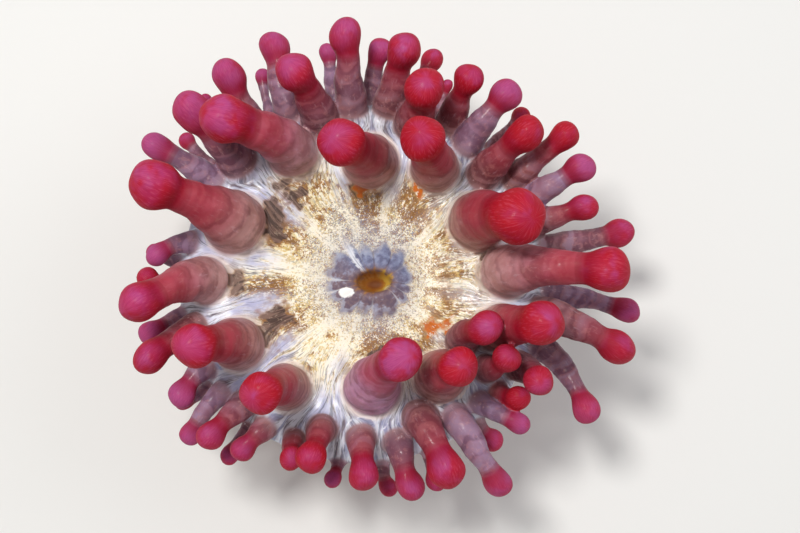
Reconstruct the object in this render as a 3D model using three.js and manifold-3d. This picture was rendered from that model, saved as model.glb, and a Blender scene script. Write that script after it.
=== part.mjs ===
// A club-tipped sea anemone at life size: millimetres, +Z up, the origin under the middle of its foot.
// A flared column carries a wide oral disc with the mouth a little off its middle.
// Tentacles stand on the disc in three cycles: a dozen large ones round the mouth, a middle cycle
// outside them, and a marginal cycle on the rim. Each is a tapering shaft that ends in a round club.
import * as THREE from "three";
import { mergeVertices } from "three/addons/utils/BufferGeometryUtils.js";
import Module from "manifold-3d";

const wasm = await Module();
wasm.setup();

// --- driving dimensions ---

const GAP = 0.3; // the thin cut between neighbouring nodes

const FOOT_TOP = 7.9; // the height at which the pedal disc ends and the column begins
const COLUMN_TOP = 35.3; // the column proper ends here and the flaring collar begins
const COLLAR_TOP = 53.4; // the collar ends here, under the disc
const BODY_TOP = 74; // clear of everything but the tentacles
const BODY_REACH = 90; // clear of the body's own outline

const MOUTH = { x: 4.5, y: -2, squeeze: 0.6, squeezeReach: 20, pullReach: 34 };
const LIP_REACH = 12; // the lips and the mouth, cut as one plug
const ORAL_REACH = 38; // the bare middle of the disc, inside the crown of tentacles
const RIM = { reach: 62.5, height: 60 }; // where the marginal cycle grows

// Half of the body's section, from the bottom of the mouth over the disc and down the column.
const BODY_OUTLINE = [
  [3.5, 60], [5.4, 63.5], [6.4, 67], [8.5, 68.2], [12.2, 67.2], [18, 66.4], [28, 67.6], [38, 69.8],
  [48, 71], [56, 69.8], [62, 66.2], [65, 61], [60, 53.5], [44, 43.5], [34.5, 35.5], [31.5, 27],
  [32, 17], [36, 8], [40.5, 3], [41.5, 0.8],
];
const MOUTH_FLOOR = BODY_OUTLINE[0][1];
const OUTLINE_STEPS = 19;
const FOOT_REACH = 41;
const BODY_SIDES = 24;

// The pose. A row is [root azimuth, root reach, club azimuth, club reach, club height, club radius],
// in degrees from +X and millimetres from the axis and from the ground. The large ones add the root's
// radius, and a slim-necked one the neck's share of the club's radius.
const INNER_CYCLE = [
  [1, 50, 358, 82, 97, 7.6, 9.2, 0.7],
  [25, 45, 14, 53, 107, 9, 10.3],
  [56, 46, 62, 44, 108, 7.3, 8.3],
  [86, 41, 99, 38, 108, 7.6, 9.5],
  [119, 50, 134, 65, 104, 8, 8.7],
  [158, 48, 160, 72, 103, 8.2, 10.8, 0.7],
  [182, 54, 191, 74, 98, 6.4, 7.9],
  [210, 49, 209, 60, 106, 7, 9],
  [237, 47, 235, 54, 106, 6.5, 7.9],
  [275, 40, 292, 36, 106, 6.9, 9.5],
  [307, 45, 312, 48, 104, 6.3, 9],
  [338, 51, 340, 63, 104, 7.2, 8.2],
];
const MIDDLE_CYCLE = [
  [348, 62, 344, 93, 68, 5.9],
  [17, 63, 17, 82, 72, 4.6],
  [25, 63, 26, 86, 75, 4.9],
  [33, 62, 34, 86, 78, 4.9],
  [40, 55, 39, 73, 90, 5.8],
  [52, 59, 51, 81, 80, 5.3],
  [61, 62, 61, 77, 84, 5.2],
  [71, 56, 70, 63, 98, 6.8],
  [81, 61, 79, 78, 88, 5.9],
  [94, 60, 94, 83, 86, 5.6],
  [105, 57, 109, 70, 95, 6.5],
  [114, 63, 111, 89, 72, 5.4],
  [126, 63, 124, 85, 78, 5.7],
  [137, 59, 137, 80, 88, 6.5],
  [147, 62, 148, 86, 74, 4.9],
  [168, 61, 175, 72, 72, 3.8],
  [198, 60, 203, 78, 80, 5.4],
  [210, 62, 214, 75, 70, 4.5],
  [220, 62, 223, 81, 66, 3.8],
  [228, 59, 228, 76, 76, 4.6],
  [238, 61, 236, 73, 68, 4.1],
  [248, 61, 250, 68, 80, 4],
  [256, 55, 256, 66, 88, 5],
  [270, 56, 271, 70, 80, 5],
  [282, 58, 283, 75, 72, 4.8],
  [292, 53, 293, 74, 82, 6],
  [303, 58, 303, 86, 68, 4.8],
  [312, 59, 316, 75, 72, 3.8],
  [319, 62, 321, 69, 75, 4.1],
  [322, 54, 327, 58, 92, 4.6],
  [326, 42, 332, 47, 97, 5.6],
  [330, 62, 327, 71, 88, 5],
];
// The marginal cycle all grows from the rim, so a row leaves out the root's reach:
// [root azimuth, club azimuth, club reach, club height, club radius].
const MARGINAL_CYCLE = [
  [10, 11, 95, 55, 5.1],
  [46, 47, 85, 55, 3.3],
  [66, 67, 78, 62, 2.4],
  [75, 73, 87, 58, 4],
  [88, 86, 84, 66, 4.4],
  [99, 99, 86, 60, 3.5],
  [120, 116, 85, 60, 2.7],
  [133, 131, 88, 62, 2.5],
  [143, 141, 84, 56, 3],
  [156, 156, 86, 60, 3.8],
  [175, 172, 76, 57, 3.2],
  [184, 180, 76, 64, 3.9],
  [192, 195, 77, 66, 4.2],
  [216, 214, 77, 56, 3.2],
  [233, 233, 78, 57, 3.4],
  [263, 262, 71, 66, 3.1],
  [276, 277, 74, 56, 3.2],
  [291, 290, 76, 57, 3.4],
  [308, 309, 73, 56, 3.9],
  [340, 329, 91, 65, 4.9],
  [356, 353, 95, 62, 4.6],
];

// How each cycle's tentacles are built. As shares of the club's radius: the shaft's radius at the root and at
// the neck, its swelling between them, and the club's length towards the neck.
const INNER_BUILD = { belly: 0.03, neck: 0.84, draw: 1.1, ...facets(8, 3, 4) };
const MIDDLE_BUILD = { root: 1.04, belly: 0.06, neck: 0.72, draw: 1.4, ...facets(6, 3, 2) };
const MARGINAL_BUILD = { root: 0.98, belly: 0.06, neck: 0.68, draw: 1.4, ...facets(5, 2, 2) };

// The facets round a tentacle, and its rings of them along the shaft and over the club.
function facets(sides, shaftRings, clubRings) {
  return { sides, shaftRings, clubRings };
}

const SINK = 3; // how far a root starts under the skin that it grows from
const RISE = 0.45; // how far along itself a tentacle keeps its root's direction
const NECK_BLEND = 0.15; // how softly the neck runs into the club, as a share of the club's radius
const TAPER = { from: 0.08, to: 0.8 }; // the part of the way to the club over which the shaft narrows
const BELLY_END = 0.7; // where the shaft's swelling ends, as a share of the way to the club
const CLUB_START = 0.75; // where the club's rings begin, as a share of its length towards the neck
const RING_ROOM = 0.4; // the least distance between a ring and the end of its length
const ROOT_END = 0.36; // where a large tentacle's root length ends, as a share of the way to the club
const SHAFT_END = 0.74; // where its shaft length ends and its club begins

// --- finishes, as colour and roughness ---

const FOOT_SKIN = { color: 0x8a5a47, roughness: 0.7 };
const COLUMN_SKIN = { color: 0xa9766a, roughness: 0.6 };
const DISC_SKIN = { color: 0xe6d8c0, roughness: 0.45 };
const LIP_SKIN = { color: 0x8d8aa6, roughness: 0.4 };
const CROWN_SKIN = { color: 0xb98aa0, roughness: 0.4 };
const SHAFT_SKIN = { color: 0xa8616a, roughness: 0.35 };
const CLUB_SKIN = { color: 0xc81e4c, roughness: 0.35 };

// --- solids ---

// A closed geometry as a manifold-3d solid.
function solidOf(geometry) {
  const bare = geometry.clone();
  bare.deleteAttribute("normal");
  bare.deleteAttribute("uv");
  const merged = mergeVertices(bare, 1e-4);
  return new wasm.Manifold(
    new wasm.Mesh({
      numProp: 3,
      vertProperties: merged.attributes.position.array,
      triVerts: new Uint32Array(merged.index.array),
    }),
  );
}

// Moves every corner of a geometry to where a function of its place puts it.
function bend(geometry, move) {
  const corners = geometry.attributes.position;
  const place = new THREE.Vector3();
  for (let i = 0; i < corners.count; i++) {
    const moved = move(place.fromBufferAttribute(corners, i));
    corners.setXYZ(i, moved.x, moved.y, moved.z);
  }
  return geometry;
}

// A solid's largest body as a named mesh. Cuts between crowded roots can leave crumbs, which are dropped.
function meshOf(name, solid, skin, move) {
  const largest = solid.decompose().reduce((a, b) => (b.volume() > a.volume() ? b : a));
  const cut = largest.getMesh();
  const geometry = new THREE.BufferGeometry();
  geometry.setAttribute("position", new THREE.BufferAttribute(new Float32Array(cut.vertProperties), 3));
  geometry.setIndex(new THREE.BufferAttribute(new Uint32Array(cut.triVerts), 1));
  bend(geometry, move).computeVertexNormals();
  const mesh = new THREE.Mesh(geometry, new THREE.MeshStandardMaterial({ ...skin, metalness: 0 }));
  mesh.name = name;
  return mesh;
}

function slab(bottom, top) {
  const box = new THREE.BoxGeometry(2 * BODY_REACH, 2 * BODY_REACH, top - bottom);
  return solidOf(box.translate(0, 0, (bottom + top) / 2));
}

function drum(radius, bottom, top) {
  const cylinder = new THREE.CylinderGeometry(radius, radius, top - bottom, BODY_SIDES);
  return cylinder.rotateX(Math.PI / 2).translate(0, 0, (bottom + top) / 2);
}

// --- the body ---

const smooth = (low, high, x) => THREE.MathUtils.smoothstep(x, low, high);

// How much further out the corners of a polygon lie than the circle of the same area.
const cornerReach = (sides) => Math.sqrt((2 * Math.PI) / sides / Math.sin((2 * Math.PI) / sides));

// Moves the mouth off the axis and squeezes it to an oval. The crown outside stays round.
function ovalMouth({ x, y, z }) {
  const reach = Math.hypot(x, y);
  const high = smooth(MOUTH_FLOOR - 4, MOUTH_FLOOR, z);
  const pull = high * (1 - smooth(0, MOUTH.pullReach, reach));
  const squeeze = high * (1 - MOUTH.squeeze) * (1 - smooth(4, MOUTH.squeezeReach, reach));
  return new THREE.Vector3(x + MOUTH.x * pull, y * (1 - squeeze) + MOUTH.y * pull, z);
}

const outlinePoints = BODY_OUTLINE.map(([reach, height]) => new THREE.Vector2(reach, height));
const outline = new THREE.SplineCurve(outlinePoints);

function bodyGeometry() {
  const section = outline.getPoints(OUTLINE_STEPS);
  const mouthFloor = new THREE.Vector2(0, MOUTH_FLOOR);
  const sole = [new THREE.Vector2(FOOT_REACH, 0), new THREE.Vector2(0, 0)];
  const corner = cornerReach(BODY_SIDES);
  const turned = new THREE.LatheGeometry([mouthFloor, ...section, ...sole].reverse(), BODY_SIDES);
  return turned.scale(corner, 1, corner).rotateX(Math.PI / 2);
}

// The height of the disc's upper skin at some distance from the axis, and how far its normal leans out.
function skinAt(reach) {
  const over = outline.getPoints(200).filter((p) => p.y > RIM.height);
  const next = over.findIndex((p, i) => i > 0 && over[i - 1].x <= reach && p.x >= reach);
  const [a, b] = [over[next - 1], over[next]];
  const share = (reach - a.x) / (b.x - a.x);
  return { height: THREE.MathUtils.lerp(a.y, b.y, share), lean: Math.atan2(a.y - b.y, b.x - a.x) };
}

// --- the tentacles ---

const outward = (degrees) => {
  const angle = THREE.MathUtils.degToRad(degrees);
  return new THREE.Vector3(Math.cos(angle), Math.sin(angle), 0);
};

// A row of the pose as a tentacle: its path from under the skin to the middle of its club.
function tentacle(azimuth, root, lean, [clubAzimuth, clubReach, clubHeight, club, ...own], build) {
  const out = outward(azimuth);
  const grow = out.clone().multiplyScalar(Math.sin(lean));
  grow.z = Math.cos(lean);
  const start = out.clone().multiplyScalar(root.reach);
  start.z = root.height;
  const end = outward(clubAzimuth).multiplyScalar(clubReach);
  end.z = clubHeight;
  const knee = start.clone().addScaledVector(grow, RISE * start.distanceTo(end));
  start.addScaledVector(grow, -SINK);
  const path = new THREE.QuadraticBezierCurve3(start, knee, end);
  const [thick = build.root * club, neck = build.neck] = own;
  return { azimuth, club, thick, neck, build, path, length: path.getLength() };
}

// The radius at a distance along the path: the tapering shaft, swelling into the round club at its end.
function radiusAt({ club, thick, neck, build, length }, distance) {
  const share = distance / length;
  const belly = build.belly * club * Math.sin(Math.PI * THREE.MathUtils.clamp(share / BELLY_END, 0, 1));
  const shaft = THREE.MathUtils.lerp(thick, neck * club, smooth(TAPER.from, TAPER.to, share)) + belly;
  const before = Math.min(distance - length, 0) / build.draw;
  const past = Math.max(distance - length, 0) / club;
  const ball = Math.sqrt(Math.max(club * club - before * before, 0));
  const swollen = (shaft + ball + Math.hypot(shaft - ball, NECK_BLEND * club)) / 2;
  return swollen * Math.sqrt(Math.max(1 - past * past, 0));
}

// The distances at which rings of facets lie: even along the shaft, and by angle over the club.
function ringsOf({ club, build, length }, from, to) {
  const rings = [];
  const neck = length - CLUB_START * build.draw * club;
  for (let i = 0; i <= build.shaftRings; i++) {
    rings.push((neck * i) / build.shaftRings);
  }
  for (let i = 1; i <= build.clubRings; i++) {
    const turn = THREE.MathUtils.lerp(0.25, 1, i / (build.clubRings + 0.5)) * Math.PI;
    const over = club * Math.cos(turn);
    rings.push(length - over * (over > 0 ? build.draw : 1));
  }
  return [from, ...rings.filter((d) => d > from + RING_ROOM && d < to - RING_ROOM), to];
}

// One length of a tentacle: a turned section, bent along the path, and grown all round by some clearance.
function lengthOf(part, from, to, clearance = 0) {
  const tip = part.length + part.club;
  const corner = cornerReach(part.build.sides);
  const section = ringsOf(part, from, to)
    .filter((d) => d < tip - 0.01)
    .map((d) => new THREE.Vector2(radiusAt(part, d) * corner + clearance, d));
  const end = Math.min(to, tip) + (to >= tip ? clearance : 0);
  section.unshift(new THREE.Vector2(0, from));
  section.push(new THREE.Vector2(0, end));
  const side = sideOf(part.path);
  const onPath = ({ x, y: distance, z }) => {
    const share = Math.min(distance / part.length, 1);
    const along = part.path.getTangentAt(share);
    const front = new THREE.Vector3().crossVectors(along, side);
    const point = part.path.getPointAt(share).addScaledVector(along, Math.max(distance - part.length, 0));
    return point.addScaledVector(front, x).addScaledVector(side, z);
  };
  return solidOf(bend(new THREE.LatheGeometry(section, part.build.sides), onPath));
}

// The direction square to the plane in which a path bends.
function sideOf(path) {
  const side = new THREE.Vector3().crossVectors(path.getTangentAt(0), path.getTangentAt(1));
  if (side.length() < 1e-3) {
    side.crossVectors(path.getTangentAt(0), new THREE.Vector3(0, 0, 1));
  }
  return side.normalize();
}

const whole = (part, clearance = 0) => lengthOf(part, 0, part.length + part.club, clearance);

const onDisc = (build) => ([azimuth, reach, ...club]) => {
  const { height, lean } = skinAt(reach);
  return tentacle(azimuth, { reach, height }, lean, club, build);
};
const inner = INNER_CYCLE.map(onDisc(INNER_BUILD));
const middle = MIDDLE_CYCLE.map(onDisc(MIDDLE_BUILD));
const marginal = MARGINAL_CYCLE.map(([azimuth, ...club]) =>
  tentacle(azimuth, RIM, Math.PI / 2, club, MARGINAL_BUILD),
);

// --- the nodes ---

const group = new THREE.Group();
const unmoved = (place) => place;
const addNode = (name, solid, skin, move = unmoved) => group.add(meshOf(name, solid, skin, move));

const body = solidOf(bodyGeometry());
const disc = body.intersect(slab(COLLAR_TOP + GAP, BODY_TOP));

addNode("foot", body.intersect(slab(-GAP, FOOT_TOP)), FOOT_SKIN);
addNode("column", body.intersect(slab(FOOT_TOP + GAP, COLUMN_TOP)), COLUMN_SKIN);
addNode("collar", body.intersect(slab(COLUMN_TOP + GAP, COLLAR_TOP)), COLUMN_SKIN);

const within = (reach) => solidOf(drum(reach, COLLAR_TOP - GAP, BODY_TOP));
const lips = disc.intersect(within(LIP_REACH));
const bare = disc.intersect(within(ORAL_REACH)).subtract(within(LIP_REACH + 1.5 * GAP));
addNode("mouth_lips", lips, LIP_SKIN, ovalMouth);
addNode("oral_disc", bare, DISC_SKIN, ovalMouth);

// The large tentacles stand on the skin with a thin cut under them.
const raised = solidOf(bodyGeometry().translate(0, 0, GAP));
const label = (index) => String(index + 1).padStart(2, "0");
inner.forEach((part, index) => {
  const rootEnd = ROOT_END * part.length;
  const shaftEnd = SHAFT_END * part.length;
  const name = `tentacle_${label(index)}`;
  addNode(`${name}_root`, lengthOf(part, 0, rootEnd).subtract(raised), SHAFT_SKIN);
  addNode(`${name}_shaft`, lengthOf(part, rootEnd + GAP, shaftEnd), SHAFT_SKIN);
  addNode(`${name}_club`, lengthOf(part, shaftEnd + GAP, part.length + part.club), CLUB_SKIN);
});

// The crown is one length of the disc's edge for each large tentacle, parted half way between their roots,
// and each length carries the middle and marginal tentacles that grow from it.
const aboveBare = raised.intersect(within(ORAL_REACH + GAP));

function wedge(from, to) {
  const half = THREE.MathUtils.degToRad(to - from) / 2;
  const middleAngle = THREE.MathUtils.degToRad(from + to) / 2;
  const shape = new THREE.Shape();
  shape.moveTo(GAP / 2 / Math.sin(half), 0);
  shape.lineTo(2 * BODY_REACH, -2 * BODY_REACH * Math.tan(half));
  shape.lineTo(2 * BODY_REACH, 2 * BODY_REACH * Math.tan(half));
  const pie = new THREE.ExtrudeGeometry(shape, { depth: BODY_TOP, bevelEnabled: false });
  return solidOf(pie.rotateZ(middleAngle));
}

const bounds = inner.map(({ azimuth }, index) => {
  const next = index + 1 < inner.length ? inner[index + 1].azimuth : inner[0].azimuth + 360;
  return (azimuth + next) / 2;
});
const small = [...middle, ...marginal];
bounds.forEach((to, index) => {
  const from = index > 0 ? bounds[index - 1] : bounds[bounds.length - 1] - 360;
  const isHere = ({ azimuth }) => (azimuth >= from && azimuth < to) || azimuth - 360 >= from;
  let length = disc.intersect(wedge(from, to));
  for (const one of small.filter(isHere)) {
    length = length.add(whole(one));
  }
  length = length.subtract(aboveBare);
  for (const one of inner) {
    length = length.subtract(whole(one, GAP).subtract(raised));
  }
  for (const one of small.filter((other) => !isHere(other))) {
    length = length.subtract(whole(one, GAP));
  }
  addNode(`crown_${label(index)}`, length, CROWN_SKIN);
});

export default group;
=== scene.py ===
"""A club-tipped sea anemone at life size, standing open on its foot.

One skin of flesh stands for all the CAD solids: the same body and tentacles, made finely, fused, smoothed
at the joins, and coloured by one material that reads where each point lies on the animal.
"""
import math

import bpy
import numpy as np
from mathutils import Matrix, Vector


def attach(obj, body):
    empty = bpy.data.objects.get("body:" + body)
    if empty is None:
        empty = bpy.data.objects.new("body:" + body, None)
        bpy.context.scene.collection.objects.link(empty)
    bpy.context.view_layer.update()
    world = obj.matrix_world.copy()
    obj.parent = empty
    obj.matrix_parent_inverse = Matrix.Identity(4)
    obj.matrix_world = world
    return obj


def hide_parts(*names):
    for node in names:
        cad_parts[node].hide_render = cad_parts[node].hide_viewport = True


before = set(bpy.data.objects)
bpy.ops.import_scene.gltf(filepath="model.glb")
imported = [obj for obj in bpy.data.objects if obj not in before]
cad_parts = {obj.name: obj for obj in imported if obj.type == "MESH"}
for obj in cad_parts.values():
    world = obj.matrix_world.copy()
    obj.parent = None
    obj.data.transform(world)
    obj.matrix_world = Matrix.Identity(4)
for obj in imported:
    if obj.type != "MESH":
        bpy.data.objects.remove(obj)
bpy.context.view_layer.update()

# ---------------------------------------------------------------- the camera

CAMERA_TARGET = Vector((0.0133, 0.0030, 0.0700))
CAMERA_ELEVATION = math.radians(80)
CAMERA_DISTANCE = 0.4678

camera_data = bpy.data.cameras.new("camera")
camera_data.lens = 60
camera_data.sensor_width = 36
camera = bpy.data.objects.new("camera", camera_data)
towards_camera = Vector((0, -math.cos(CAMERA_ELEVATION), math.sin(CAMERA_ELEVATION)))
camera.location = CAMERA_TARGET + towards_camera * CAMERA_DISTANCE
camera.rotation_euler = (CAMERA_TARGET - camera.location).to_track_quat("-Z", "Y").to_euler()
bpy.context.scene.collection.objects.link(camera)
bpy.context.scene.camera = camera

# ---------------------------------------------------------------- the animal's sizes, in millimetres

MOUTH = np.array([4.5, -2.0])  # where the mouth lies, a little off the axis
MOUTH_SQUEEZE = 0.6  # the oval's narrow way, as a share of its wide way
SQUEEZE_REACH = 20  # how far out the squeeze is felt
PULL_REACH = 34  # how far out the pull off the axis is felt
MOUTH_FLOOR = 60

# Half of the body's section, as reach and height, from the bottom of the mouth over the disc and down the
# column.
BODY_OUTLINE = np.array([
    [3.5, 60], [5.4, 63.5], [6.4, 67], [8.5, 68.2], [12.2, 67.2], [18, 66.4], [28, 67.6], [38, 69.8],
    [48, 71], [56, 69.8], [62, 66.2], [65, 61], [60, 53.5], [44, 43.5], [34.5, 35.5], [31.5, 27],
    [32, 17], [36, 8], [40.5, 3], [41.5, 0.8],
])
FOOT_REACH = 41
RIM = (62.5, 60)  # the reach and height at which the marginal cycle grows

# A row is a tentacle: root azimuth and reach, then club azimuth, reach, height and radius, in degrees and
# millimetres. The large ones add the root's radius, and a slim-necked one the neck's share of the club's
# radius.
INNER_CYCLE = [
    [1, 50, 358, 82, 97, 7.6, 9.2, 0.7],
    [25, 45, 14, 53, 107, 9, 10.3],
    [56, 46, 62, 44, 108, 7.3, 8.3],
    [86, 41, 99, 38, 108, 7.6, 9.5],
    [119, 50, 134, 65, 104, 8, 8.7],
    [158, 48, 160, 72, 103, 8.2, 10.8, 0.7],
    [182, 54, 191, 74, 98, 6.4, 7.9],
    [210, 49, 209, 60, 106, 7, 9],
    [237, 47, 235, 54, 106, 6.5, 7.9],
    [275, 40, 292, 36, 106, 6.9, 9.5],
    [307, 45, 312, 48, 104, 6.3, 9],
    [338, 51, 340, 63, 104, 7.2, 8.2],
]
MIDDLE_CYCLE = [
    [348, 62, 344, 93, 68, 5.9],
    [17, 63, 17, 82, 72, 4.6],
    [25, 63, 26, 86, 75, 4.9],
    [33, 62, 34, 86, 78, 4.9],
    [40, 55, 39, 73, 90, 5.8],
    [52, 59, 51, 81, 80, 5.3],
    [61, 62, 61, 77, 84, 5.2],
    [71, 56, 70, 63, 98, 6.8],
    [81, 61, 79, 78, 88, 5.9],
    [94, 60, 94, 83, 86, 5.6],
    [105, 57, 109, 70, 95, 6.5],
    [114, 63, 111, 89, 72, 5.4],
    [126, 63, 124, 85, 78, 5.7],
    [137, 59, 137, 80, 88, 6.5],
    [147, 62, 148, 86, 74, 4.9],
    [168, 61, 175, 72, 72, 3.8],
    [198, 60, 203, 78, 80, 5.4],
    [210, 62, 214, 75, 70, 4.5],
    [220, 62, 223, 81, 66, 3.8],
    [228, 59, 228, 76, 76, 4.6],
    [238, 61, 236, 73, 68, 4.1],
    [248, 61, 250, 68, 80, 4],
    [256, 55, 256, 66, 88, 5],
    [270, 56, 271, 70, 80, 5],
    [282, 58, 283, 75, 72, 4.8],
    [292, 53, 293, 74, 82, 6],
    [303, 58, 303, 86, 68, 4.8],
    [312, 59, 316, 75, 72, 3.8],
    [319, 62, 321, 69, 75, 4.1],
    [322, 54, 327, 58, 92, 4.6],
    [326, 42, 332, 47, 97, 5.6],
    [330, 62, 327, 71, 88, 5],
]
# The marginal cycle all grows from the rim, so a row leaves out the root's reach.
MARGINAL_CYCLE = [
    [10, 11, 95, 55, 5.1],
    [46, 47, 85, 55, 3.3],
    [66, 67, 78, 62, 2.4],
    [75, 73, 87, 58, 4],
    [88, 86, 84, 66, 4.4],
    [99, 99, 86, 60, 3.5],
    [120, 116, 85, 60, 2.7],
    [133, 131, 88, 62, 2.5],
    [143, 141, 84, 56, 3],
    [156, 156, 86, 60, 3.8],
    [175, 172, 76, 57, 3.2],
    [184, 180, 76, 64, 3.9],
    [192, 195, 77, 66, 4.2],
    [216, 214, 77, 56, 3.2],
    [233, 233, 78, 57, 3.4],
    [263, 262, 71, 66, 3.1],
    [276, 277, 74, 56, 3.2],
    [291, 290, 76, 57, 3.4],
    [308, 309, 73, 56, 3.9],
    [340, 329, 91, 65, 4.9],
    [356, 353, 95, 62, 4.6],
]

# As shares of the club's radius: the shaft's radius at the root, its belly and its neck, and the club's
# length towards the neck. The large tentacles' rows give their roots' own radii.
INNER_FORM = (None, 0.03, 0.84, 1.1)
MIDDLE_FORM = (1.04, 0.06, 0.72, 1.4)
MARGINAL_FORM = (0.98, 0.06, 0.68, 1.4)
SINK = 3  # how far a root starts under the skin that it grows from
RISE = 0.45  # how far along itself a tentacle keeps its root's direction
NECK_BLEND = 0.15  # how softly the neck runs into the club, as a share of the club's radius
TAPER = (0.08, 0.8)  # the part of the way to the club over which the shaft narrows
BELLY_END = 0.7  # where the shaft's swelling ends, as a share of the way to the club

# How finely the flesh is made.
OUTLINE_POINTS = 241
BODY_SIDES = 220
CURVE_SAMPLES = 401
PATH_POINTS = 61
TENTACLE_SIDES = 28
RING_SPACING = 0.9
CLUB_RINGS = 13
VOXEL = 0.6
SMOOTHING_ROUNDS = 6
FILLET_ROUNDS = 14

# The heights of the small relief on it.
LIP_LOBES = 0.6
DISC_RIDGES = 0.22
COLUMN_FOLDS = 0.3
COLUMN_LINES = 0.25
TENTACLE_LUMPS = 0.2
SHAFT_RINGS = 0.05

# ---------------------------------------------------------------- form


def smooth(low, high, x):
    """Rises gently from 0 at low to 1 at high."""
    share = np.clip((x - low) / (high - low), 0, 1)
    return share * share * (3 - 2 * share)


def lerp(low, high, share):
    return low + (high - low) * share


def spline(points, count):
    """A smooth curve through the points. At each it runs parallel to the line between its neighbours."""
    place = np.linspace(0, len(points) - 1, count)
    k = np.minimum(place.astype(int), len(points) - 2)
    w = (place - k)[:, None]
    before, here, there = points[np.maximum(k - 1, 0)], points[k], points[k + 1]
    after = points[np.minimum(k + 2, len(points) - 1)]
    slope_here, slope_there = (there - before) / 2, (after - here) / 2
    return (
        (2 * here - 2 * there + slope_here + slope_there) * w**3
        + (3 * there - 3 * here - 2 * slope_here - slope_there) * w**2
        + slope_here * w
        + here
    )


OUTLINE = spline(BODY_OUTLINE, OUTLINE_POINTS)


def pull_to_mouth(points):
    """Moves the mouth off the axis and squeezes it to an oval. The crown outside stays round."""
    reach = np.hypot(points[:, 0], points[:, 1])
    high = smooth(MOUTH_FLOOR - 4, MOUTH_FLOOR, points[:, 2])
    pull = high * (1 - smooth(0, PULL_REACH, reach))
    squeeze = high * (1 - MOUTH_SQUEEZE) * (1 - smooth(4, SQUEEZE_REACH, reach))
    moved = points.copy()
    moved[:, 0] += MOUTH[0] * pull
    moved[:, 1] += MOUTH[1] * pull - points[:, 1] * squeeze
    return moved


def skin_at(reach):
    """The height of the disc's upper skin at some reach, and how far its normal leans out."""
    over = OUTLINE[OUTLINE[:, 1] > RIM[1]]
    k = int(np.argmax((over[:-1, 0] <= reach) & (over[1:, 0] >= reach)))
    (near, near_height), (far, far_height) = over[k], over[k + 1]
    height = lerp(near_height, far_height, (reach - near) / (far - near))
    return height, math.atan2(near_height - far_height, far - near)


def outward(degrees):
    """The level direction at an azimuth."""
    angle = math.radians(degrees)
    return np.array([math.cos(angle), math.sin(angle), 0.0])


class Tentacle:
    """A curved tapering shaft with a round club over its end."""

    def __init__(self, azimuth, root, lean, club_place, form, rank):
        club_azimuth, club_reach, club_height, club, *own = club_place
        grow = outward(azimuth) * math.sin(lean) + [0, 0, math.cos(lean)]
        start = outward(azimuth) * root[0] + [0, 0, root[1]]
        end = outward(club_azimuth) * club_reach + [0, 0, club_height]
        knee = start + grow * RISE * np.linalg.norm(end - start)
        start = start - grow * SINK
        t = np.linspace(0, 1, CURVE_SAMPLES)[:, None]
        fine = (1 - t) ** 2 * start + 2 * t * (1 - t) * knee + t**2 * end
        run = np.concatenate([[0], np.cumsum(np.linalg.norm(np.diff(fine, axis=0), axis=1))])
        root_share, self.belly, neck_share, self.draw = form
        self.club = club
        self.rank = rank
        self.thick = own[0] if own else club * root_share
        self.neck = own[1] if own[1:] else neck_share
        self.length = run[-1]
        self.places = np.linspace(0, self.length, PATH_POINTS)
        self.path = np.stack([np.interp(self.places, run, fine[:, i]) for i in range(3)], axis=1)
        self.along = np.gradient(self.path, self.places, axis=0)
        self.along /= np.linalg.norm(self.along, axis=1)[:, None]
        side = np.cross(self.along[0], self.along[-1])
        if np.linalg.norm(side) < 1e-3:
            side = np.cross(self.along[0], [0, 0, 1])
        self.side = side / np.linalg.norm(side)

    def radius(self, distance):
        """The tapering shaft, swelling into the round club at its end."""
        share = distance / self.length
        shaft = lerp(self.thick, self.neck * self.club, smooth(*TAPER, share))
        shaft = shaft + self.belly * self.club * np.sin(np.pi * np.clip(share / BELLY_END, 0, 1))
        before = np.minimum(distance - self.length, 0) / self.draw
        past = np.maximum(distance - self.length, 0) / self.club
        ball = np.sqrt(np.maximum(self.club**2 - before**2, 0))
        swollen = (shaft + ball + np.hypot(shaft - ball, NECK_BLEND * self.club)) / 2
        return swollen * np.sqrt(np.maximum(1 - past**2, 0))

    def mesh(self):
        """Rings of points with a point at each end, and the faces between them."""
        turns = np.linspace(0.3, 1, CLUB_RINGS + 1)[:-1] * np.pi
        over_club = self.length - self.club * np.cos(turns)
        along_shaft = np.arange(0, over_club[0] - RING_SPACING / 3, RING_SPACING)
        rings = np.concatenate([along_shaft, over_club])
        radii = self.radius(rings)
        on_path = np.minimum(rings, self.length)
        centre = np.stack([np.interp(on_path, self.places, self.path[:, i]) for i in range(3)], axis=1)
        along = np.stack([np.interp(on_path, self.places, self.along[:, i]) for i in range(3)], axis=1)
        centre += along * (rings - on_path)[:, None]
        front = np.cross(along, self.side)
        angle = np.linspace(0, 2 * np.pi, TENTACLE_SIDES, endpoint=False)
        ring = front[:, None] * np.cos(angle)[None, :, None] + self.side * np.sin(angle)[None, :, None]
        points = centre[:, None] + ring * radii[:, None, None]
        tip = self.path[-1] + self.along[-1] * self.club
        return capped_rings(points, self.path[0], tip)


def capped_rings(points, first, last):
    """Vertices and faces of a closed surface of rings, with a single point at each end."""
    rings, sides, _ = points.shape
    vertices = np.concatenate([points.reshape(-1, 3), [first, last]])
    at = np.arange(sides)
    onward = (at + 1) % sides
    faces = []
    for k in range(rings - 1):
        low, high = k * sides, (k + 1) * sides
        faces += np.stack([low + at, low + onward, high + onward, high + at], axis=1).tolist()
    top = (rings - 1) * sides
    faces += np.stack([onward, at, np.full(sides, rings * sides)], axis=1).tolist()
    faces += np.stack([top + at, top + onward, np.full(sides, rings * sides + 1)], axis=1).tolist()
    return vertices, faces


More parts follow.
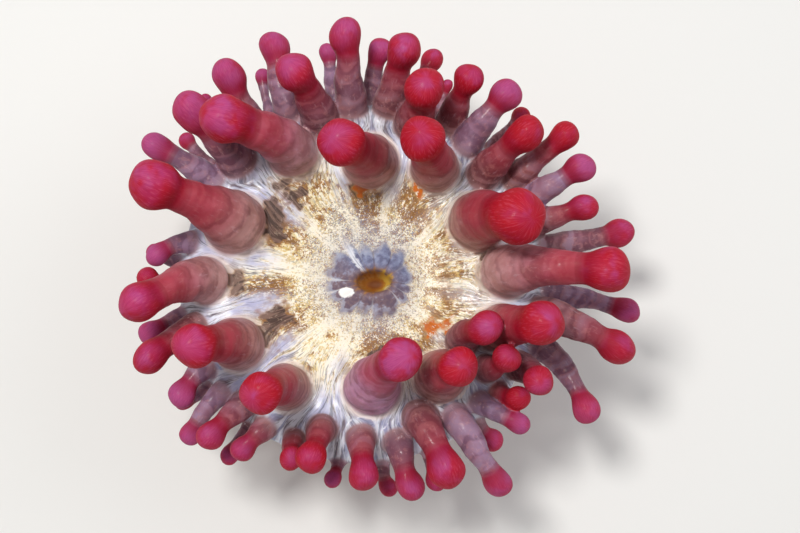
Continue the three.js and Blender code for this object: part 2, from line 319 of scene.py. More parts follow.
def body_mesh():
    """The column and the disc, turned round the axis, with the mouth pulled to its place."""
    sole = [[FOOT_REACH, 0], [FOOT_REACH / 2, 0]]
    section = np.concatenate([OUTLINE, sole])[::-1]
    angle = np.linspace(0, 2 * np.pi, BODY_SIDES, endpoint=False)
    points = np.empty((len(section), BODY_SIDES, 3))
    points[..., 0] = section[:, :1] * np.cos(angle)
    points[..., 1] = section[:, :1] * np.sin(angle)
    points[..., 2] = section[:, 1:]
    vertices, faces = capped_rings(points, np.zeros(3), np.array([0, 0, MOUTH_FLOOR]))
    return pull_to_mouth(vertices), faces


tentacles = []
for rows, form, rank in ((INNER_CYCLE, INNER_FORM, 0.0), (MIDDLE_CYCLE, MIDDLE_FORM, 0.5)):
    for azimuth, reach, *club in rows:
        height, lean = skin_at(reach)
        tentacles.append(Tentacle(azimuth, (reach, height), lean, club, form, rank))
for azimuth, *club in MARGINAL_CYCLE:
    tentacles.append(Tentacle(azimuth, RIM, math.pi / 2, club, MARGINAL_FORM, 1.0))

# ---------------------------------------------------------------- the skin

FAR = 99.0  # stands for the distance, in millimetres, of a point that is on no tentacle

# Where the disc's colours gather: azimuth, reach from the mouth and half width of each patch.
DARK_PATCHES = [
    [144, 39, 4.5], [152, 35, 4.5], [130, 37, 3.5], [133, 43, 3.5], [207, 33, 5.5], [212, 40, 5],
    [184, 44, 4], [9, 45, 3.5], [94, 31, 3], [281, 27, 3.5],
]
GOLDEN_PATCHES = [
    [94, 27, 7], [55, 33, 9], [18, 40, 8], [352, 30, 7], [186, 34, 6], [208, 33, 7], [281, 24, 6],
    [146, 36, 8], [323, 31, 7],
]
ORANGE_PATCHES = [[323, 30.5, 3.5], [329, 35, 3], [58, 36, 2.2], [18, 42, 3], [90, 31, 2.8]]
# The white fans on the disc: azimuth and half width in degrees.
WHITE_FANS = [[35, 5], [73, 5], [104, 8], [136, 6], [173, 11], [230, 9], [254, 14], [326, 9], [355, 5]]
LIPS = 13  # the lobes round the mouth
# How lilac each tentacle is, in the order of the three cycles.
TONES = np.array([
    0.4, 0.0, 0.1, 0.2, 0.5, 0.3, 0.4, 0.25, 0.27, 1.0, 0.15, 0.3,
    0.3, 0.3, 0.8, 0.1, 0.0, 0.65, 0.2, 0.2, 0.3, 0.45, 0.35, 0.6, 0.5, 0.5, 1.0, 1.0,
    0.2, 1.0, 0.8, 0.4, 0.4, 0.2, 0.15, 0.35, 0.5, 0.3, 0.7, 1.0, 0.2, 0.2, 0.3, 0.3,
    0.4, 0.2, 0.4, 0.3, 0.5, 0.8, 0.9, 0.5, 0.5, 0.3, 0.7, 0.2, 0.7, 0.6, 0.5, 0.5, 0.4, 0.4, 0.5, 0.6,
    0.85,
])


def fused(solids):
    """One surface round all the solids, in even small faces."""
    vertices, faces = [], []
    for points, sides in solids:
        base = len(vertices)
        vertices += (points / 1000).tolist()
        faces += [[base + i for i in face] for face in sides]
    mesh = bpy.data.meshes.new("raw_flesh")
    mesh.from_pydata(vertices, [], faces)
    raw = bpy.data.objects.new("raw_flesh", mesh)
    bpy.context.scene.collection.objects.link(raw)
    remesh = raw.modifiers.new("fuse", "REMESH")
    remesh.mode = "VOXEL"
    remesh.voxel_size = VOXEL / 1000
    whole = bpy.data.meshes.new_from_object(raw.evaluated_get(bpy.context.evaluated_depsgraph_get()))
    bpy.data.objects.remove(raw)
    bpy.data.meshes.remove(mesh)
    return whole


def coordinates(mesh):
    """The vertices' places in millimetres."""
    flat = np.empty(len(mesh.vertices) * 3)
    mesh.vertices.foreach_get("co", flat)
    return flat.reshape(-1, 3) * 1000


def relax(points, edges, weight):
    """Moves each point some of the way to the mean of its neighbours."""
    count = np.bincount(edges.ravel(), minlength=len(points))[:, None]
    total = np.zeros_like(points)
    for i in range(3):
        total[:, i] = np.bincount(edges[:, 0], points[edges[:, 1], i], len(points))
        total[:, i] += np.bincount(edges[:, 1], points[edges[:, 0], i], len(points))
    return points + (total / np.maximum(count, 1) - points) * weight


def read_tentacles(points):
    """For each point: its tentacle, how far it lies outside that one's surface, and its place on it.

    from_tip is 0 at the tip and 1 at the middle of the club's round end. The third number of spin is the
    distance along the path from where it starts, under the disc's skin.
    """
    total = len(points)
    found = {
        "owner": np.full(total, -1),
        "clear": np.full(total, FAR),
        "run": np.zeros(total),
        "share": np.zeros(total),
        "from_tip": np.full(total, 9.0),
        "spin": np.zeros((total, 3)),
    }
    for k, one in enumerate(tentacles):
        margin = one.club * 1.4 + 6
        inside = np.all((points > one.path.min(0) - margin) & (points < one.path.max(0) + margin), axis=1)
        near = np.flatnonzero(inside)
        offsets = points[near][:, None] - one.path[None]
        closest = np.argmin(np.einsum("ijk,ijk->ij", offsets, offsets), axis=1)
        offset = offsets[np.arange(len(near)), closest]
        step = np.einsum("ij,ij->i", offset, one.along[closest])
        place = one.places[closest] + step
        across = np.linalg.norm(offset - one.along[closest] * step[:, None], axis=1)
        clear = across - one.radius(np.minimum(place, one.length))
        past = place > one.length
        clear[past] = np.linalg.norm(points[near[past]] - one.path[-1], axis=1) - one.club
        clear[place < 0] = FAR
        wins = clear < found["clear"][near]
        near, closest, offset = near[wins], closest[wins], offset[wins]
        place, clear = place[wins], clear[wins]
        front = np.cross(one.along[closest], one.side)
        spin = np.stack([np.einsum("ij,ij->i", offset, front), offset @ one.side], axis=1)
        found["owner"][near] = k
        found["clear"][near] = clear
        found["run"][near] = place - SINK
        found["share"][near] = (place - SINK) / (one.length - SINK)
        from_end = (one.length - place) / one.club
        found["from_tip"][near] = 1 + np.where(from_end > 0, from_end / one.draw, from_end)
        found["spin"][near, :2] = spin / np.maximum(np.linalg.norm(spin, axis=1), 1e-6)[:, None]
        found["spin"][near, 2] = place
    return found


def turn_between(a, b):
    """The turn in degrees from one azimuth to another, the shorter way."""
    return (a - b + 180) % 360 - 180


def disc_place(points):
    """Where each point would lie from above if the mouth were round and on the axis."""
    reach = np.hypot(points[:, 0], points[:, 1])
    flat = points[:, :2] - MOUTH * (1 - smooth(0, PULL_REACH, reach))[:, None]
    reach = np.hypot(flat[:, 0], flat[:, 1])
    flat[:, 1] /= 1 - (1 - MOUTH_SQUEEZE) * (1 - smooth(4, SQUEEZE_REACH, reach))
    return flat


def patches(flat, table):
    """How deep in a patch each point is: 1 in the middle, and less outwards to a ragged edge."""
    total = np.zeros(len(flat))
    x, y = flat[:, 0], flat[:, 1]
    ragged_x = np.sin(0.9 * y + 0.5 * x) + np.sin(1.7 * y - 1.1 * x + 1) * 0.6
    ragged_y = np.sin(0.8 * x - 0.6 * y + 2) + np.sin(1.5 * x + 1.2 * y) * 0.6
    flat = flat + 1.3 * np.stack([ragged_x, ragged_y], axis=1)
    for azimuth, reach, width in table:
        away = np.linalg.norm(flat - outward(azimuth)[:2] * reach, axis=1)
        total = np.maximum(total, np.exp(-((away / width) ** 2)))
    return total


def lip_phase(turn):
    """Counts the lip's lobes round the mouth: whole numbers are the grooves."""
    return turn * LIPS / (2 * np.pi) + 0.3 * np.sin(3 * turn + 1) + 0.2 * np.sin(5 * turn + 2)


def write(mesh, name, values):
    """Keeps a number or three for each vertex, for the material to read."""
    kind = "FLOAT_VECTOR" if values.ndim == 2 else "FLOAT"
    layer = mesh.attributes.new(name, kind, "POINT")
    layer.data.foreach_set("vector" if values.ndim == 2 else "value", values.astype(np.float32).ravel())


flesh = fused([body_mesh()] + [one.mesh() for one in tentacles])
points = coordinates(flesh)
edges = np.empty(len(flesh.edges) * 2, dtype=np.int64)
flesh.edges.foreach_get("vertices", edges)
edges = edges.reshape(-1, 2)

# Each round draws the points in and then back out, so that the steps go and the size stays.
for _ in range(SMOOTHING_ROUNDS):
    points = relax(relax(points, edges, 0.5), edges, -0.52)

# The joins of tentacle to disc are eased into fillets, and the throat into a bowl.
found = read_tentacles(points)
on_top = smooth(52, 58, points[:, 2])
upper = OUTLINE[: np.argmax(OUTLINE[:, 0])]
height_over = points[:, 2] - np.interp(np.hypot(points[:, 0], points[:, 1]), upper[:, 0], upper[:, 1])
low = 1 - smooth(1, 4, np.abs(height_over))
join = (1 - smooth(0.4, 2.4, found["clear"])) * low * on_top
flat = disc_place(points)
join = np.maximum(join, (1 - smooth(5, 6.5, np.hypot(flat[:, 0], flat[:, 1]))) * on_top)
for _ in range(FILLET_ROUNDS):
    points = relax(points, edges, 0.5 * join[:, None])

# What the material reads: which part of the animal each point is on, and where on it.
found = read_tentacles(points)
owner = found["owner"]
flat = disc_place(points)
reach = np.hypot(flat[:, 0], flat[:, 1])
turn = np.arctan2(flat[:, 1], flat[:, 0])
ranks = np.array([one.rank for one in tentacles])
tones = TONES + np.random.default_rng(7).uniform(0, 0.04, len(tentacles))
on_tentacle = (1 - smooth(0.1, 1.6, found["clear"])) * smooth(-0.5, 1.5, found["run"])
off_tentacle = (1 - on_tentacle) * on_top

# The disc's strands run out from the mouth and part round the tentacles' roots.
stream = turn.copy()
for one in tentacles[: len(INNER_CYCLE) + len(MIDDLE_CYCLE)]:
    root = one.path[0][:2]
    outwards = root / np.linalg.norm(root)
    away = flat - root
    aside = away[:, 1] * outwards[0] - away[:, 0] * outwards[1]
    room = np.maximum((away**2).sum(axis=1), one.thick**2)
    stream -= 0.9 * aside * one.thick**2 / room / np.maximum(reach, 10) * (1 - smooth(8, 16, np.sqrt(room)))

# Pale strands and painted highlight run out between the large tentacles, fainter on the +X side.
roots = sorted(row[0] for row in INNER_CYCLE)
gaps = [(here + there) / 2 for here, there in zip(roots, roots[1:] + [roots[0] + 360])]
degrees = np.degrees(turn)
off_gap = np.min([np.abs(turn_between(degrees, middle)) for middle in gaps], axis=0)
fainter = 0.6 * smooth(-0.1, 0.6, np.cos(turn + 0.2))
spoke_sheen = (1 - smooth(2, 9, off_gap)) * smooth(24, 40, reach) * on_top * (1 - fainter)
# White fans cross the disc.
fan = np.zeros(len(points))
for azimuth, wide in WHITE_FANS:
    fan = np.maximum(fan, 1 - smooth(0.3 * wide, wide, np.abs(turn_between(degrees, azimuth))))

# Round the large tentacles' roots lies a pale rim of painted glow, and a dark window on the mouth's side.
inner = (owner >= 0) & (owner < len(INNER_CYCLE))
rim_light = np.where(inner, 1 - smooth(0.3, 2.4, found["clear"]), 0) * off_tentacle
window = np.zeros(len(points))
for k, one in enumerate(tentacles[: len(INNER_CYCLE)]):
    root = one.path[0][:2]
    away = points[:, :2] - root
    facing = -(away @ root) / np.maximum(np.linalg.norm(away, axis=1) * np.linalg.norm(root), 1e-6)
    near = 1 - smooth(one.thick + 1, one.thick + 6, np.linalg.norm(away, axis=1))
    window = np.maximum(window, near * smooth(0.2, 0.7, facing) * (0.3 + 0.7 * tones[k]))

write(flesh, "tentacle", on_tentacle)
write(flesh, "rank", np.where(owner >= 0, ranks[owner], 0))
write(flesh, "lilac", np.where(owner >= 0, tones[owner], 0))
write(flesh, "share", np.clip(found["share"], -0.2, 1.5))
write(flesh, "from_tip", found["from_tip"])
write(flesh, "spin", found["spin"])
write(flesh, "disc", np.stack([flat[:, 0], flat[:, 1], spoke_sheen], axis=1))
write(flesh, "ray", np.stack([np.cos(stream), np.sin(stream), reach], axis=1))
write(flesh, "marks", np.stack([rim_light, window * off_tentacle, fan], axis=1))
stains = [patches(flat, table) for table in (DARK_PATCHES, GOLDEN_PATCHES, ORANGE_PATCHES)]
write(flesh, "stain", np.stack(stains, axis=1))

# Small relief along the normals: the lobes of the lips, ridges on the disc, wrinkles round the column, and
# lumps and faint rings on the tentacles.
lobes = np.abs(np.sin(np.pi * lip_phase(turn)))
on_lips = smooth(6, 8.5, reach) * (1 - smooth(13.5, 16, reach)) * off_tentacle * (points[:, 2] > 64)
lift = LIP_LOBES * on_lips * (np.sqrt(lobes) - 0.5)
ridges = np.sin(stream * 47 + 2 * np.sin(stream * 9)) * 0.5
ridges += np.sin(stream * 83 + 3 * np.sin(stream * 7)) * 0.3
lift += DISC_RIDGES * ridges * smooth(20, 34, reach) * off_tentacle
height = points[:, 2]
on_column = smooth(6, 12, height) * (1 - smooth(44, 56, height)) * (1 - on_tentacle)
around = np.arctan2(points[:, 1], points[:, 0])
folds = np.sin(height * 1.5 + 2 * np.sin(3 * around) + 1.2 * np.sin(7 * around + 1))
lift += COLUMN_FOLDS * on_column * folds * (1 - smooth(30, 38, height))
lift += COLUMN_LINES * on_column * np.sin(48 * around + 0.6 * np.sin(height * 0.4))
lumps = np.sin(points @ [0.31, 0.42, 0.23] + owner) + np.sin(points @ [-0.44, 0.29, 0.38] + owner * 1.7)
lift += TENTACLE_LUMPS * lumps * on_tentacle
on_shaft = smooth(1.9, 2.6, found["from_tip"]) * smooth(2, 6, found["run"]) * on_tentacle
rings = np.sin(found["run"] * 1.3 + 1.5 * found["spin"][:, 0] + 2 * owner)
rings += 0.5 * np.sin(found["run"] * 2.9 + owner)
lift += SHAFT_RINGS * rings * on_shaft
flesh.vertices.foreach_set("co", (points / 1000).ravel())
flesh.update()
normals = np.empty(len(points) * 3)
flesh.vertices.foreach_get("normal", normals)
normals = normals.reshape(-1, 3)
# How far each point faces up, which the clubs' painted sheen and glow read.
write(flesh, "upward", normals[:, 2])
points = points + normals * (lift * smooth(1, 5, height))[:, None]
points[:, 2] = np.maximum(points[:, 2], 0)
flesh.vertices.foreach_set("co", (points / 1000).ravel())
flesh.update()
flesh.polygons.foreach_set("use_smooth", np.ones(len(flesh.polygons), dtype=bool))

skin = bpy.data.objects.new("skin", flesh)
bpy.context.scene.collection.objects.link(skin)

# ---------------------------------------------------------------- shading


class Flow:
    """A number, vector or colour on its way through a material."""

    def __init__(self, graph, socket):
        self.graph = graph
        self.socket = socket

    def __add__(self, other):
        return self.graph.maths("ADD", self, other)

    def __radd__(self, other):
        return self.graph.maths("ADD", other, self)

    def __sub__(self, other):
        return self.graph.maths("SUBTRACT", self, other)

    def __rsub__(self, other):
        return self.graph.maths("SUBTRACT", other, self)

    def __mul__(self, other):
        return self.graph.maths("MULTIPLY", self, other)

    def __rmul__(self, other):
        return self.graph.maths("MULTIPLY", other, self)

    def __truediv__(self, other):
        return self.graph.maths("DIVIDE", self, other)

    def __pow__(self, other):
        return self.graph.maths("POWER", self, other)

    def sine(self):
        return self.graph.maths("SINE", self)

    def size(self):
        return self.graph.maths("ABSOLUTE", self)

    def squared(self):
        return self * self

    def step(self, low, high):
        """0 below low and 1 above high, or the other way round if low is the greater."""
        inputs = {"Value": self, "From Min": min(low, high), "From Max": max(low, high)}
        inputs |= {"To Min": float(low > high), "To Max": float(low <= high)}
        return self.graph.make("ShaderNodeMapRange", inputs, settings={"interpolation_type": "SMOOTHSTEP"})

    def near(self, middle, width):
        """1 at the middle, 0 further off than the width."""
        return (self - middle).size().step(width, width * 0.45)


class Graph:
    """The nodes of a material or of the world."""

    def __init__(self, owner):
        owner.use_nodes = True
        self.owner = owner
        self.tree = owner.node_tree
        self.tree.nodes.clear()

    def node(self, kind, inputs, settings=None):
        """Any node: its settings are set first, then each socket's value or link."""
        node = self.tree.nodes.new(kind)
        for key, value in (settings or {}).items():
            setattr(node, key, value)
        for key, value in inputs.items():
            if isinstance(value, Flow):
                self.tree.links.new(value.socket, node.inputs[key])
            else:
                node.inputs[key].default_value = value
        return node

    def make(self, kind, inputs, output=0, settings=None):
        """One output of a new node."""
        return Flow(self, self.node(kind, inputs, settings).outputs[output])

    def maths(self, operation, a, b=0.0):
        return self.make("ShaderNodeMath", {0: a, 1: b}, settings={"operation": operation})

    def vector(self, operation, a, b):
        return self.make("ShaderNodeVectorMath", {0: a, 1: b}, settings={"operation": operation})

    def mix(self, share, low, high):
        """A colour between two others. The mix node's colours are its sockets 6 and 7 in and 2 out."""
        return self.make("ShaderNodeMix", {0: share, 6: low, 7: high}, 2, {"data_type": "RGBA"})

    def attribute(self, name, output="Fac"):
        return self.make("ShaderNodeAttribute", {}, output, {"attribute_name": name})

    def parts(self, vector):
        return [Flow(self, socket) for socket in self.node("ShaderNodeSeparateXYZ", {0: vector}).outputs]

    def join(self, x, y, z):
        return self.make("ShaderNodeCombineXYZ", {0: x, 1: y, 2: z})

    def noise(self, vector, scale, detail=2.0, rough=0.5, output=0):
        """Cloudy values about a half, with features 1 / scale across."""
        inputs = {"Vector": vector, "Scale": scale, "Detail": detail, "Roughness": rough}
        return self.make("ShaderNodeTexNoise", inputs, output)

    def noises(self, vector, scale, detail, rough):
        """Three clouds that have nothing to do with each other: the noise node's second output."""
        return self.parts(self.noise(vector, scale, detail, rough, 1))


def tint(code):
    """A colour from its six-digit code, as light."""
    levels = [int(code[i : i + 2], 16) / 255 for i in (0, 2, 4)]
    return tuple(v / 12.92 if v <= 0.04045 else ((v + 0.055) / 1.055) ** 2.4 for v in levels) + (1.0,)


class SkinGraph(Graph):
    """The animal's skin. Lengths are in millimetres."""

    def __init__(self):
        super().__init__(bpy.data.materials.new("anemone_skin"))
        place = self.make("ShaderNodeTexCoord", {}, "Object")
        self.place = self.vector("MULTIPLY", place, (1000, 1000, 1000))
        self.x, self.y, self.z = self.parts(self.place)
        self.tentacle = self.attribute("tentacle")
        self.rank = self.attribute("rank")
        self.lilac = self.attribute("lilac")
        self.share = self.attribute("share")
        self.from_tip = self.attribute("from_tip")
        self.upward = self.attribute("upward")
        self.cos, self.sin, self.run = self.parts(self.attribute("spin", "Vector"))
        self.u, self.v, self.spoke_sheen = self.parts(self.attribute("disc", "Vector"))
        self.ray_x, self.ray_y, self.reach = self.parts(self.attribute("ray", "Vector"))
        self.rim_light, self.window, self.fan = self.parts(self.attribute("marks", "Vector"))
        self.dark, self.golden, self.orange = self.parts(self.attribute("stain", "Vector"))
        self.cloud = self.noise(self.place, 0.14, 4, 0.6)
        self.haze = self.noise(self.place, 0.05, 3)
        self.strands = self.noise(self.rays(1, 0.004), 32, 3, 0.6)
        self.wide_strands = self.noise(self.rays(1, 0.008), 10, 3, 0.6)
        self.hairs = self.noise(self.rays(1, 0.0025), 70, 2, 0.5).step(0.45, 0.36)
        wide = (self.x.squared() + self.y.squared()) ** 0.5
        self.lines = self.noise(self.join(self.x / wide, self.y / wide, self.z * 0.012), 15, 2, 0.5)
        self.tip_lines = self.noise(self.join(self.cos * 5, self.sin * 5, self.from_tip * 0.8), 4, 3, 0.6)
        self.mauve = self.rank.step(0, 0.5) * self.lilac.step(0.15, 0.9)

    def rays(self, across, out):
        """A place for noise, so that it is fine across the disc's strands and drawn out along them."""
        return self.join(self.ray_x * across, self.ray_y * across, self.reach * out)

    def flecks(self, scale):
        """Three kinds of speckle, round near the mouth and drawn out into strands near the crown."""
        drawn = self.reach.step(16, 40)
        round_ones = self.noises(self.place, scale, 2, 0.6)
        long_ones = self.noises(self.rays(26 * scale, 0.34 * scale), 1, 2, 0.6)
        return [here + (there - here) * drawn for here, there in zip(round_ones, long_ones)]

    def disc(self):
        """Cream, flecked in drifts with white and gold, which the crown reads too, brown and grey-blue."""
        white, brown, blue = self.flecks(2.0)
        pale, self.gold, grey = self.flecks(1.0)
        blotch, drift, bloom = self.noises(self.place, 0.3, 3, 0.65)
        fan = self.fan * self.reach.step(13, 22) * self.wide_strands.step(0.30, 0.50)
        rich = self.golden * 0.18 + (blotch - 0.5) * 0.6 + (self.cloud - 0.5) * 0.4 - fan * 0.14
        colour = self.mix((self.cloud + drift).step(0.8, 1.2), tint("dcc27e"), tint("f0e3b8"))
        colour = self.mix((self.golden * 0.5 + rich * 2).step(0.1, 0.7) * 0.6, colour, tint("b48b4c"))
        colour = self.mix((self.gold + rich).step(0.50, 0.62) * 0.9, colour, tint("ae7c3a"))
        colour = self.mix((brown + rich * 0.8).step(0.54, 0.62) * 0.7, colour, tint("765130"))
        upper = (self.v / (self.reach + 6)).step(0.0, 0.8) * self.reach.step(36, 18)
        cold = (self.haze - 0.5) * 0.4 + upper * 0.06 - 0.04
        colour = self.mix((grey - rich * 0.4 + cold).step(0.52, 0.60) * 0.5, colour, tint("8e8c92"))
        colour = self.mix((blue + cold).step(0.55, 0.62) * 0.5, colour, tint("7888b0"))
        colour = self.mix((pale - rich * 0.7).step(0.52, 0.60) * 0.85, colour, tint("fbf5e0"))
        self.white = (white - rich * 0.35 + (bloom - 0.5) * 0.5).step(0.52, 0.58)
        colour = self.mix(self.white * 0.95, colour, tint("f9f4e3"))
        colour = self.mix(fan * (0.2 + pale.step(0.42, 0.52) * 0.3), colour, tint("f6f0de"))
        dark_strands = self.strands.step(0.45, 0.34) * self.reach.step(22, 36)
        colour = self.mix(dark_strands * 0.5, colour, tint("73532f"))
        colour = self.mix(self.hairs * self.reach.step(20, 34) * (fan * 0.4 + 0.2), colour, tint("5f5c66"))
        near = (self.haze.step(0.35, 0.55) * 0.6 + 0.4) * self.reach.step(26, 13)
        return self.mix(near * (0.3 + brown.step(0.4, 0.6) * 0.25), colour, tint("989cb2"))

    def lips(self, disc):
        """Mauve lobes round a brown and yellow throat, bluer on one side, with paler edges and creases."""
        turn = self.maths("ARCTAN2", self.v, self.u)
        phase = turn * (LIPS / math.tau) + (turn * 3 + 1).sine() * 0.3 + (turn * 5 + 2).sine() * 0.2
        lobe = (phase * math.pi).sine().size() ** 0.6
        grain = self.noise(self.place, 0.5, 3, 0.6)
        which = self.noise(self.join(self.ray_x, self.ray_y, 0), 2.2, 1, 0.5)
        edge = lobe * 2.4 + grain * 3.5 + which * 6 + 9.0 - self.reach
        bluer = (self.v + self.cloud * 14 + self.u * 0.4 - which * 16).step(-7, 9)
        colour = self.mix(bluer, tint("7d686f"), tint("7c82a0"))
        colour = self.mix(grain.step(0.46, 0.60) * 0.45, colour, tint("514a66"))
        colour = self.mix(grain.step(0.48, 0.36) * 0.5, colour, tint("9aa2be"))
        colour = self.mix(edge.near(1.2, 1.2) * self.cloud.step(0.40, 0.60) * 0.45, colour, tint("b9c2d6"))
        pale_crease = (lobe + edge * 0.07).step(0.75, 0.35) * which.step(0.42, 0.56)
        dark_crease = lobe.step(0.50, 0.15) * which.step(0.56, 0.42)
        colour = self.mix(pale_crease * 0.6, colour, tint("d3d6de"))
        colour = self.mix(dark_crease * 0.6, colour, tint("4c4258"))
        colour = self.mix(edge.step(-1.0, 1.4), disc, colour)
        depth = self.reach + grain * 6 + lobe * 1.6 + which * 3 - 3.0
        colour = self.mix(depth.step(13.0, 8.6) * 0.7, colour, tint("8a6654"))
        # Painted shade: the throat darker deeper in, and darkest in its middle.
        throat = self.mix(depth.step(9.0, 6.0), tint("b08048"), tint("9c6428"))
        throat = self.mix(self.reach.step(4.5, 1.5), throat, tint("6e3c16"))
        side = self.u.step(0, 5)
        throat = self.mix((self.reach + grain * 3).near(7.2, 2.4) * side * 0.9, throat, tint("cfae4a"))
        pale = (self.u - 5.5).squared() + (self.v + 4).squared() * 0.5
        throat = self.mix((pale + grain * 4).step(6.0, 3.0) * 0.7, throat, tint("e6dfb8"))
        colour = self.mix(depth.step(10.6, 7.8), colour, throat)
        aside, on = self.u * 0.84 + self.v * 0.54, self.v * 0.84 - self.u * 0.54
        wedge = (aside.size() - on * 0.07 + (grain - 0.5) * 2.4).step(0.7, -0.1)
        wedge = wedge * on.step(6, 9) * on.step(20, 13)
        colour = self.mix(wedge * (self.strands.step(0.42, 0.52) * 0.5 + 0.35), colour, tint("e8ebf2"))
        across, down = self.u + 9.4, self.v + 5.6
        spot = across.squared() * 0.35 + down.squared() * 0.35 + across * down * 0.2 + grain * 3
        return self.mix(spot.step(4.0, 2.8), colour, tint("fbfaf8"))

    def crown(self, disc):
        """Between tentacles: silvery strands with painted highlight on dull flesh, painted root glow, dark
        windows.
        """
        colour = self.mix(self.wide_strands.step(0.38, 0.58), tint("6a5f70"), tint("989dc0"))
        colour = self.mix(self.strands.step(0.42, 0.58) * 0.8, colour, tint("e6ebf8"))
        colour = self.mix(self.reach.step(38, 52) * 0.9, disc, colour)
        # Painted highlight, with silvery strands: pale bands between the large tentacles, bluish in places.
        streak = self.wide_strands.step(0.36, 0.52) * 0.7 + self.strands.step(0.40, 0.52) * 0.25
        streak = self.spoke_sheen * streak
        colour = self.mix(streak, colour, tint("f0f4ff"))
        colour = self.mix(streak * self.haze.step(0.42, 0.56) * 0.75, colour, tint("9294c4"))
        colour = self.mix(self.hairs * self.reach.step(30, 42) * 0.55, colour, tint("474a5c"))
        # Painted glow: a pale rim round the large tentacles' roots.
        colour = self.mix(self.rim_light * 0.7, colour, tint("f6e6dc"))
        patchy = self.cloud.step(0.42, 0.52) * 0.6 + self.wide_strands.step(0.45, 0.55) * 0.4
        colour = self.mix(self.window * patchy * 0.8, colour, tint("6a4226"))
        stain = self.dark * 1.1 + (self.cloud - 0.5) * 0.8 + (self.wide_strands - 0.5) * 0.7
        colour = self.mix(stain.step(0.2, 0.5) * self.dark.step(0.02, 0.3) * 0.6, colour, tint("96683c"))
        inside = self.mix(self.strands.step(0.38, 0.60), tint("43322e"), tint("7c6258"))
        colour = self.mix(stain.step(0.42, 0.66) * (1 - self.white * 0.3) * 0.95, colour, inside)
        between_flecks = 1 - self.white * 0.7
        colour = self.mix(self.orange.step(0.05, 0.6) * between_flecks * 0.7, colour, tint("c08e4a"))
        bright = (self.orange + (self.cloud - 0.5) * 0.9 + (self.gold - 0.5) * 0.8).step(0.35, 0.7)
        rust = self.mix(self.hairs * 0.4 + self.cloud.step(0.3, 0.6) * 0.6, tint("b45816"), tint("d87410"))
        return self.mix(bright * between_flecks, colour, rust)

    def column(self):
        """Brown and wrinkled below, paler towards the collar, with lengthwise lines."""
        colour = self.mix(self.z.step(20, 52), tint("744432"), tint("b98278"))
        colour = self.mix(self.lines.step(0.45, 0.65) * 0.42, colour, tint("d3ab9b"))
        return self.mix(self.cloud.step(0.42, 0.66) * self.z.step(40, 10) * 0.7, colour, tint("4a2b1d"))

    def shaft(self):
        """Dusky rose, lobed darker bands, fine rings, crimson neck, a root pale partly by painted light."""
        outer = self.rank.step(0, 0.5)
        wander = self.noise(self.place, 0.14, 2)
        lobed = self.run + (self.cos.squared() - self.sin.squared()) * 1.1 + wander * 7
        bands = self.noise(self.join(self.lilac * 60, self.rank, lobed * 0.24), 1, 1, 0.5)
        bands = bands + (lobed * 1.4 + self.lilac * 9).sine() * outer * 0.10
        rings = ((self.run + wander * 3) * 3.4).sine().step(0.0, 0.9) * self.run.step(12, 5)
        rings = rings * (1 - self.rank) * self.lilac.step(0.42, 0.28)
        glint_streaks = self.noise(self.join(self.cos * 5, self.sin * 5, self.run * 0.3), 1, 3, 0.6)
        fine = self.noise(self.place, 0.45, 3, 0.6)
        colour = self.mix(self.share.step(0.05, 0.55), tint("c8a09a"), tint("a65a62"))
        colour = self.mix(self.lilac.step(0.25, 1.0) * (1 - self.rank) * 0.9, colour, tint("cc98bc"))
        dusky = self.mix(self.mauve, tint("7f5059"), tint("8b7695"))
        colour = self.mix(outer * 0.8, colour, dusky)
        colour = self.mix(self.cloud.step(0.38, 0.62) * 0.4, colour, tint("8c4a44"))
        dark = bands.step(0.44, 0.57) * (outer * 0.25 + 0.4)
        dark = dark * self.run.step(2, 5) * self.cloud.step(0.3, 0.5)
        colour = self.mix(dark, colour, self.mix(self.mauve, tint("5c2832"), tint("6a4c66")))
        colour = self.mix(bands.step(0.44, 0.30) * self.rank * 0.4, colour, tint("a590a8"))
        colour = self.mix(fine.step(0.52, 0.66) * 0.22, colour, tint("c88e8a"))
        colour = self.mix(rings * 0.34, colour, tint("74382e"))
        # Painted highlight: short pale marks along the shaft.
        colour = self.mix(glint_streaks.step(0.58, 0.70) * 0.16, colour, tint("dcc6d2"))
        # Partly painted light: the root paler against the shade there, and glowing at its end.
        colour = self.mix(self.run.step(8, 1.5) * (1 - self.rank * 0.3) * 0.55, colour, tint("d6bab8"))
        colour = self.mix(self.run.step(3.5, 0.5) * (1 - self.rank * 0.6) * 0.6, colour, tint("e6dae6"))
        # Painted highlight: white specks near the roots of the smaller tentacles.
        painted_glints = fine.step(0.64, 0.70) * self.run.step(12, 4) * self.rank
        colour = self.mix(painted_glints * 0.7, colour, tint("f2eef6"))
        neck = (self.from_tip + self.rank * 1.2 + self.mauve * 1.2).step(4.3, 2.4)
        colour = self.mix(neck * (0.72 - self.rank * 0.3) * (1 - self.mauve * 0.3), colour, tint("a62a3e"))
        return self.mix(self.from_tip.near(2.05, 0.18) * 0.4, colour, tint("7c1226"))

    def club(self):
        """Crimson with scarlet and magenta blooms and fine lines from the tip, partly painted sheen and
        glow.
        """
        patch, other, third = self.noises(self.place, 0.13, 2, 0.5)
        # Painted sheen: more magenta where the club faces up, besides random patches and its tone.
        bloom = self.upward + (patch - 0.5) * 2 + self.lilac * 0.8 - 0.15
        colour = self.mix(bloom.step(0.4, 1.4), tint("a61228"), tint("a8295a"))
        # Painted sheen: bluish pink where it faces up, besides random patches and its tone.
        violet = self.upward * 0.5 + other + self.lilac * 0.4 - 0.1
        colour = self.mix(violet.step(0.85, 1.25) * 0.6, colour, tint("ad4e8b"))
        tip = self.from_tip.step(0.7, 0.0) * other.step(0.6, 0.4) * self.lilac.step(0, 0.4)
        colour = self.mix(tip * 0.5, colour, tint("b84478"))
